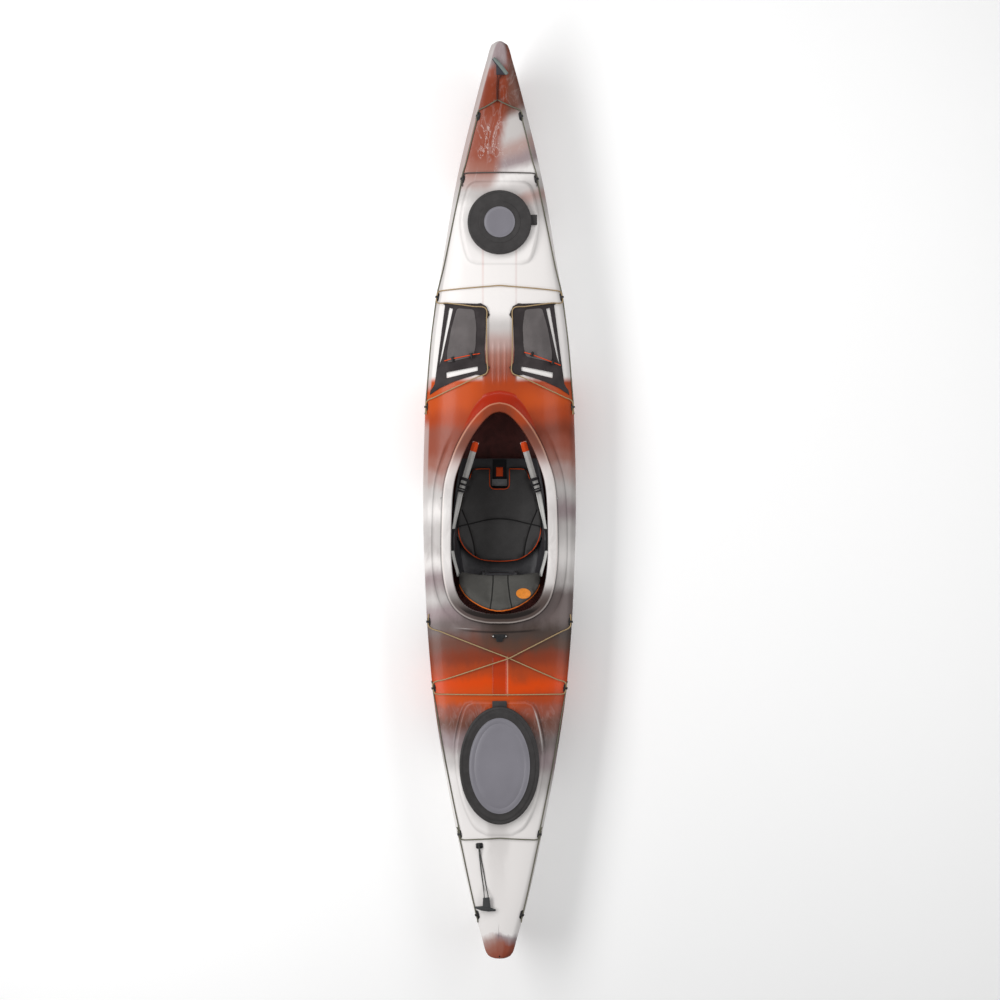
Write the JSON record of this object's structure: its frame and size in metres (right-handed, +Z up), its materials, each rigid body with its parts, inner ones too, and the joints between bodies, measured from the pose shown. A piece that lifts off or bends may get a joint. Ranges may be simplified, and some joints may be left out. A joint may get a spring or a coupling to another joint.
{
  "type": "sit-in sea kayak",
  "caption": "Single sit-in sea kayak with a keyhole cockpit, two rubber-covered hatches, a padded seat that adjusts, foot braces, deck pockets and deck lines.",
  "frame": {"origin": "under the middle of the keel, where the hull rests", "axes": "+X starboard, +Y to the bow, +Z up"},
  "size_m": [0.655, 3.89, 0.386],
  "materials": {
    "hull_plastic": "satin, marbled",
    "bulkhead_foam": "matte closed-cell foam",
    "hatch_rubber": "matte",
    "panel_plastic": "satin",
    "seat_plastic": "textured",
    "cushion_fabric": "woven",
    "strap_webbing": "woven",
    "buckle_plastic": "moulded",
    "pocket_mesh": "mesh with a webbing edge",
    "shock_cord": "braided",
    "deck_cord": "braided",
    "bungee_cord": "braided",
    "toggle_cord": "braided",
    "toggle_rubber": "moulded",
    "fitting_plastic": "moulded"
  },
  "bodies": {
    "boat": {"hull": "hull_plastic", "bow_bulkhead": "bulkhead_foam", "stern_bulkhead": "bulkhead_foam", "seat_pan": "seat_plastic", "seat_cushion": "cushion_fabric", "leg_lift_strap": "strap_webbing", "leg_lift_buckle": "buckle_plastic", "stern_padeye": "fitting_plastic", "deck_bracket": "fitting_plastic", "front_deck_line": "deck_cord", "front_cross_cord": "deck_cord", "rear_deck_line": "deck_cord", "foredeck_bungee": "bungee_cord", "rear_bungee": "bungee_cord", "left_back_strap": "strap_webbing", "left_strap_buckle": "buckle_plastic", "left_foot_rail": "seat_plastic", "left_deck_pocket": "pocket_mesh", "left_shock_cord": "shock_cord", "left_stern_line": "deck_cord", "right_back_strap": "strap_webbing", "right_strap_buckle": "buckle_plastic", "right_foot_rail": "seat_plastic", "right_deck_pocket": "pocket_mesh", "right_shock_cord": "shock_cord", "right_stern_line": "deck_cord", "left_fairlead_1": "fitting_plastic", "right_fairlead_1": "fitting_plastic", "left_fairlead_2": "fitting_plastic", "right_fairlead_2": "fitting_plastic", "left_fairlead_3": "fitting_plastic", "right_fairlead_3": "fitting_plastic", "left_fairlead_4": "fitting_plastic", "right_fairlead_4": "fitting_plastic", "left_fairlead_5": "fitting_plastic", "right_fairlead_5": "fitting_plastic", "left_fairlead_6": "fitting_plastic", "right_fairlead_6": "fitting_plastic", "left_fairlead_7": "fitting_plastic", "right_fairlead_7": "fitting_plastic", "left_fairlead_8": "fitting_plastic", "right_fairlead_8": "fitting_plastic"},
    "bow_cover": {"bow_hatch_cover": "hatch_rubber", "bow_hatch_panel": "panel_plastic"},
    "stern_cover": {"stern_hatch_cover": "hatch_rubber", "stern_hatch_panel": "panel_plastic"},
    "backrest": {"backrest_shell": "seat_plastic", "backrest_cushion": "cushion_fabric"},
    "left_strap": {"left_side_strap": "strap_webbing"},
    "right_strap": {"right_side_strap": "strap_webbing"},
    "left_pedal": {"left_foot_pedal": "seat_plastic"},
    "right_pedal": {"right_foot_pedal": "seat_plastic"},
    "bow_handle": {"bow_toggle": "toggle_rubber", "bow_toggle_cord": "toggle_cord"},
    "stern_handle": {"stern_toggle": "toggle_rubber", "stern_toggle_cord": "toggle_cord"},
    "left_inner_lock": {"left_inner_cord_lock": "fitting_plastic"},
    "left_outer_lock": {"left_outer_cord_lock": "fitting_plastic"},
    "right_inner_lock": {"right_inner_cord_lock": "fitting_plastic"},
    "right_outer_lock": {"right_outer_cord_lock": "fitting_plastic"}
  },
  "joints": [
    {"name": "bow_cover_lift", "type": "slide", "parent": "boat", "child": "bow_cover", "axis": [0, 0, 1], "range_m": [0, 0.06]},
    {"name": "stern_cover_lift", "type": "slide", "parent": "boat", "child": "stern_cover", "axis": [0, 0, 1], "range_m": [0, 0.06]},
    {"name": "backrest_tilt", "type": "hinge", "parent": "boat", "child": "backrest", "pos_m": [0, -0.318, 0.14], "axis": [-1, 0, 0], "range_deg": [0, 50], "deforming": ["left_back_strap", "right_back_strap"]},
    {"name": "left_strap_pull", "type": "slide", "parent": "boat", "child": "left_strap", "axis": [0.2571, 0.8182, 0.5143], "range_m": [0, 0.04]},
    {"name": "right_strap_pull", "type": "slide", "parent": "boat", "child": "right_strap", "axis": [-0.2571, 0.8182, 0.5143], "range_m": [0, 0.04]},
    {"name": "left_pedal_slide", "type": "slide", "parent": "boat", "child": "left_pedal", "axis": [0.0483, 0.9988, 0], "range_m": [-0.13, 0.13]},
    {"name": "right_pedal_slide", "type": "slide", "parent": "boat", "child": "right_pedal", "axis": [-0.0483, 0.9988, 0], "range_m": [-0.13, 0.13]},
    {"name": "bow_toggle_swing", "type": "hinge", "parent": "boat", "child": "bow_handle", "pos_m": [-0.0096, 1.6942, 0.336], "axis": [1, 0, 0], "range_deg": [0, 90], "deforming": ["bow_toggle_cord"]},
    {"name": "stern_toggle_swing", "type": "hinge", "parent": "boat", "child": "stern_handle", "pos_m": [-0.0871, -1.4648, 0.283], "axis": [-1, 0, 0], "range_deg": [0, 90], "deforming": ["stern_toggle_cord"]},
    {"name": "left_inner_lock_slide", "type": "slide", "parent": "boat", "child": "left_inner_lock", "axis": [0.9695, 0.1818, 0.1646], "range_m": [-0.006, 0.005]},
    {"name": "left_outer_lock_slide", "type": "slide", "parent": "boat", "child": "left_outer_lock", "axis": [0.9695, 0.1818, 0.1646], "range_m": [-0.006, 0]},
    {"name": "right_inner_lock_slide", "type": "slide", "parent": "boat", "child": "right_inner_lock", "axis": [-0.8862, 0.2987, 0.3541], "range_m": [-0.006, 0.005]},
    {"name": "right_outer_lock_slide", "type": "slide", "parent": "boat", "child": "right_outer_lock", "axis": [-0.8862, 0.2987, 0.3541], "range_m": [-0.006, 0]}
  ],
  "couplings": [
    {"joint": "left_strap_pull", "follows": "backrest_tilt", "m_per_rad": 0.045},
    {"joint": "right_strap_pull", "follows": "backrest_tilt", "m_per_rad": 0.045}
  ]
}
